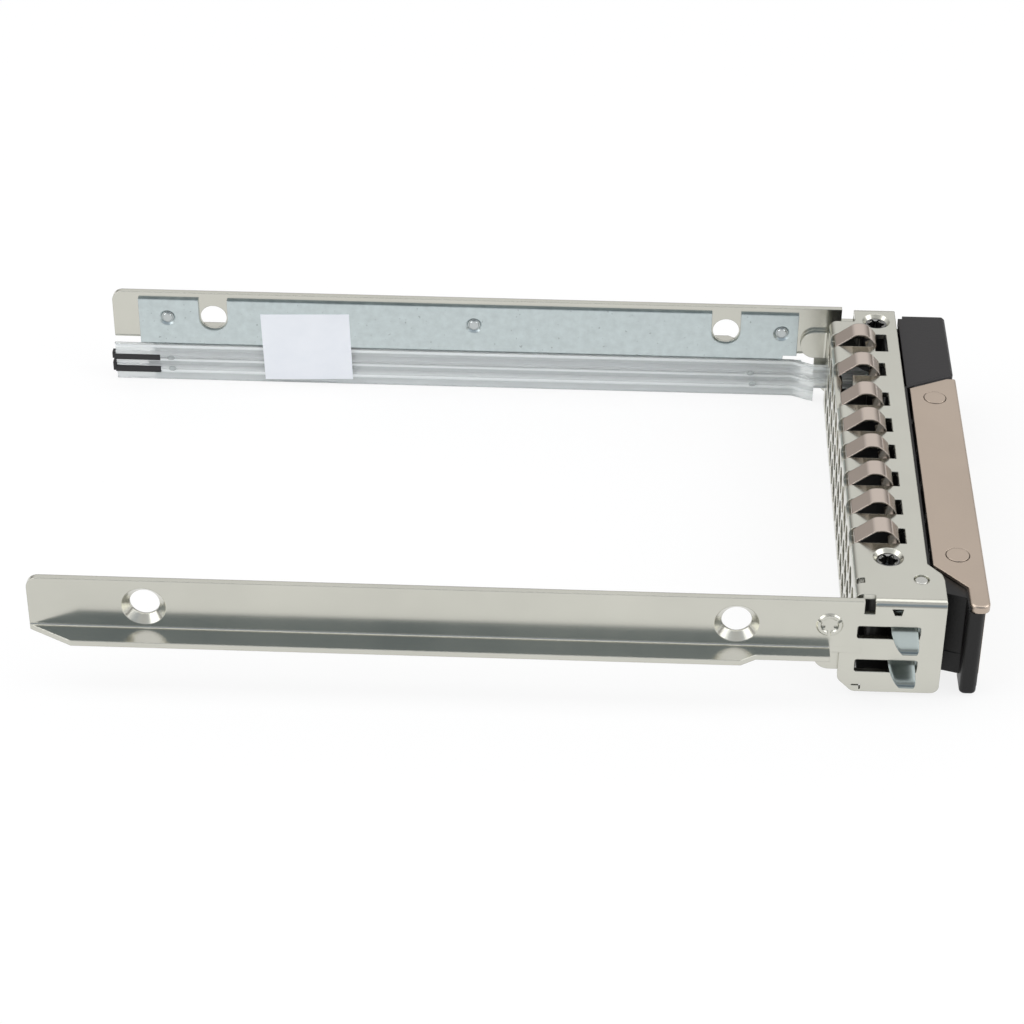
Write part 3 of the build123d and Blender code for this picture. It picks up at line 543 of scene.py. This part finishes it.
# %% Give the pressed coils their own meshes
for spring, node, axis, joint, still in [(springs[1], "button_spring", 0, "button_press", 0),
                                         (springs[2], "latch_spring", 1, "latch_draw", 1)]:
    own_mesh(spring)

# %% [markdown]
# Four small pips stand on the light pipes, two near each end, where the clear bars are staked
# together. Each is a low oval dome: a short cylinder, stretched along the pipe, whose front face
# is inset and pulled out twice.

# %% Pips on the light pipes
pipe_front = 0.00135  # from the box of the pipe to its front face
pip_radius, pip_height, pip_sunk, pip_stretch = 0.00036, 0.00018, 0.00004, 1.6
dome_insets, dome_rise = (0.00009, 0.00012), 0.00005


def pip(name, x, z):
    """Low oval dome on the front of the light pipes."""
    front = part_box("lower_light_pipe")[0][1] + pipe_front
    bpy.ops.object.select_all(action="DESELECT")
    bpy.ops.mesh.primitive_cylinder_add(vertices=24, radius=pip_radius, depth=pip_height,
                                        location=(x, front - pip_sunk, z),
                                        rotation=(pi / 2, 0, 0))
    dome = bpy.context.object
    dome.name = name
    settle(dome)
    bpy.ops.object.mode_set(mode="EDIT")
    pick(dome, "vertices", lambda at: True)
    bpy.ops.transform.resize(value=(pip_stretch, 1, 1), center_override=(x, front, z))
    pick(dome, "polygons", lambda at: at.y < front - pip_height / 2)
    for width in dome_insets:
        bpy.ops.mesh.inset(thickness=width)
        bpy.ops.transform.translate(value=(0, -dome_rise, 0))
    bpy.ops.object.mode_set(mode="OBJECT")
    bpy.ops.object.shade_smooth_by_angle(angle=radians(60))
    dome.data.materials.append(pip_plastic)
    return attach(dome, body)


pips = [
    pip("rear_upper_pip", -0.0534, 0.0040),
    pip("rear_lower_pip", -0.0533, 0.0021),
    pip("front_upper_pip", 0.0340, 0.0040),
    pip("front_lower_pip", 0.0344, 0.0021),
]
print("pips:", len(pips))

# %% [markdown]
# The modelled pieces have their finish. Now each solid takes its own, in place of the plain colour
# that it came with. The solids that the modelled pieces replace get one too, although the render
# leaves them out.

# %% Give every solid its finish
finishes = {
    "frame": nickel_sheet,
    "light_pipe_carrier": zinc_sheet,
    "carrier_rivets": rivet_metal,
    "upper_light_pipe": pipe_plastic,
    "lower_light_pipe": pipe_plastic,
    "light_pipe_clip": clip_plastic,
    "label": white_film,
    "top_contact_strip": finger_strip,
    "side_contact_strip": tab_strip,
    "front_housing": black_plastic,
    "housing_screws": screw_metal,
    "handle_lever": black_plastic,
    "handle_cover": champagne_sheet,
    "cover_rivets": champagne_sheet,
    "pivot_pin": pin_metal,
    "handle_spring": spring_wire,
    "release_button": button_plastic,
    "button_spring": spring_wire,
    "latch_slide": black_plastic,
    "latch_spring": spring_wire,
}
for name, node in nodes.items():
    node.data.materials.clear()
    node.data.materials.append(finishes[name])
print("finishes given:", len(finishes))

# %% [markdown]
# The photograph shows the caddy on plain white. The floor is a pale, wide sheet that receives the
# shadow, and it reads as white to the camera and in reflections, so that the metal mirrors a
# bright studio.

# %% Floor
def studio_white(name, colour, shadow_share):
    """Pale surface that looks white to the camera, and keeps a share of the shadow."""
    finish, tree, shader = new_finish(name)
    shader.inputs["Base Color"].default_value = (*colour, 1)
    shader.inputs["Roughness"].default_value = 0.9
    shader.inputs["Specular IOR Level"].default_value = 0.1
    glow = tree.nodes.new("ShaderNodeEmission")
    glow.inputs["Strength"].default_value = 1.0
    path = tree.nodes.new("ShaderNodeLightPath")
    seen = maths(tree, "MAXIMUM", path.outputs["Is Camera Ray"], path.outputs["Is Glossy Ray"])
    seen = maths(tree, "MAXIMUM", seen, path.outputs["Is Transmission Ray"])
    share = maths(tree, "MULTIPLY", seen, 1 - shadow_share)
    two_shaders(tree, share, shader.outputs["BSDF"], glow.outputs["Emission"])
    return finish


floor_size, floor_gap, shadow_share = 4, 0.0001, 0.16
bpy.ops.object.select_all(action="DESELECT")
bpy.ops.mesh.primitive_plane_add(size=floor_size, location=(0, 0, -floor_gap))
floor = bpy.context.object
floor.name = "floor"
floor.data.materials.append(studio_white("floor_white", (0.86, 0.86, 0.86), shadow_share))
print("floor at", round(floor.location.z, 4))


# %% [markdown]
# Bright metal shows what surrounds it, so the light is made of large soft panels: a long one
# straight above, which draws a bright line along each fold, and a weaker one to each side. Between
# them the room is grey: it is darker behind the camera, which draws the grey bands on the rails,
# and at the zenith, where the panel is.

# %% Lamps and surroundings
def soft_panel(name, place, aim, size, power):
    """Soft lamp at a place, turned to a point."""
    bpy.ops.object.light_add(type="AREA", location=place)
    lamp = bpy.context.object
    lamp.name = name
    lamp.data.shape = "RECTANGLE"
    lamp.data.size, lamp.data.size_y = size
    lamp.data.energy = power
    lamp.rotation_euler = (Vector(aim) - Vector(place)).to_track_quat("-Z", "Y").to_euler()
    return lamp


middle = (0.0, 0.0, 0.008)
long_panel, side_panel = (2.0, 0.5), (0.7, 0.6)
soft_panel("overhead", (0.0, 0.05, 0.85), middle, long_panel, 4.2)
soft_panel("from_left", (-0.75, -0.25, 0.45), middle, side_panel, 2.4)
soft_panel("from_right", (0.75, -0.15, 0.45), middle, side_panel, 2.1)


def room(name, zenith, sky, horizon, dark_side):
    """Surroundings: bright sky, greyer at the horizon and the zenith, dark behind the camera."""
    world = bpy.data.worlds.new(name)
    world.use_nodes = True
    tree = world.node_tree
    coordinates = tree.nodes.new("ShaderNodeTexCoord")
    parts = tree.nodes.new("ShaderNodeSeparateXYZ")
    tree.links.new(coordinates.outputs["Generated"], parts.inputs["Vector"])
    height = spread(tree, parts.outputs["Z"], 0, 1, 0.0, 1.0)
    light = ramp(tree, height, [(0.1, horizon), (0.48, sky), (0.72, sky), (1.0, zenith)])
    front = spread(tree, parts.outputs["Y"], 1, 0, -0.75, -0.35)
    low_end = spread(tree, parts.outputs["Z"], 0, 1, 0.15, 0.35)
    high_end = spread(tree, parts.outputs["Z"], 1, 0, 0.66, 0.8)
    dark = maths(tree, "MULTIPLY", maths(tree, "MULTIPLY", front, low_end), high_end)
    around = two_colours(tree, dark, light, dark_side)
    backdrop = tree.nodes["Background"]
    tree.links.new(around, backdrop.inputs["Color"])
    backdrop.inputs["Strength"].default_value = 1.0
    return world


zenith, sky = (0.35, 0.35, 0.35), (0.92, 0.92, 0.92)
horizon, dark_side = (0.30, 0.29, 0.28), (0.27, 0.335, 0.42)
bpy.context.scene.world = room("studio", zenith, sky, horizon, dark_side)

# %% [markdown]
# The photograph was taken from in front of the near rail, about 35 degrees above it and 0.4 m
# away. The place and the lens below were found by fitting a camera to the four screw holes and to
# the corners of the frame.

# %% Camera
photo_place = (0.01207, -0.32992, 0.23519)
photo_swing, photo_height, photo_roll = 2.159, 35.233, 0.363  # in degrees
swing = Matrix.Rotation(radians(photo_swing), 3, "Z")
tilt = Matrix.Rotation(radians(90 - photo_height), 3, "X")
roll = Matrix.Rotation(radians(photo_roll), 3, "Z")
bpy.ops.object.camera_add(location=photo_place, rotation=(swing @ tilt @ roll).to_euler())
camera = bpy.context.object
camera.name = "photo_camera"
camera.data.sensor_width = 36
camera.data.lens = 100.78
camera.data.clip_start = 0.01
bpy.context.scene.camera = camera
bpy.context.scene.view_settings.view_transform = "Standard"
print("lens:", round(camera.data.lens, 1), "mm")
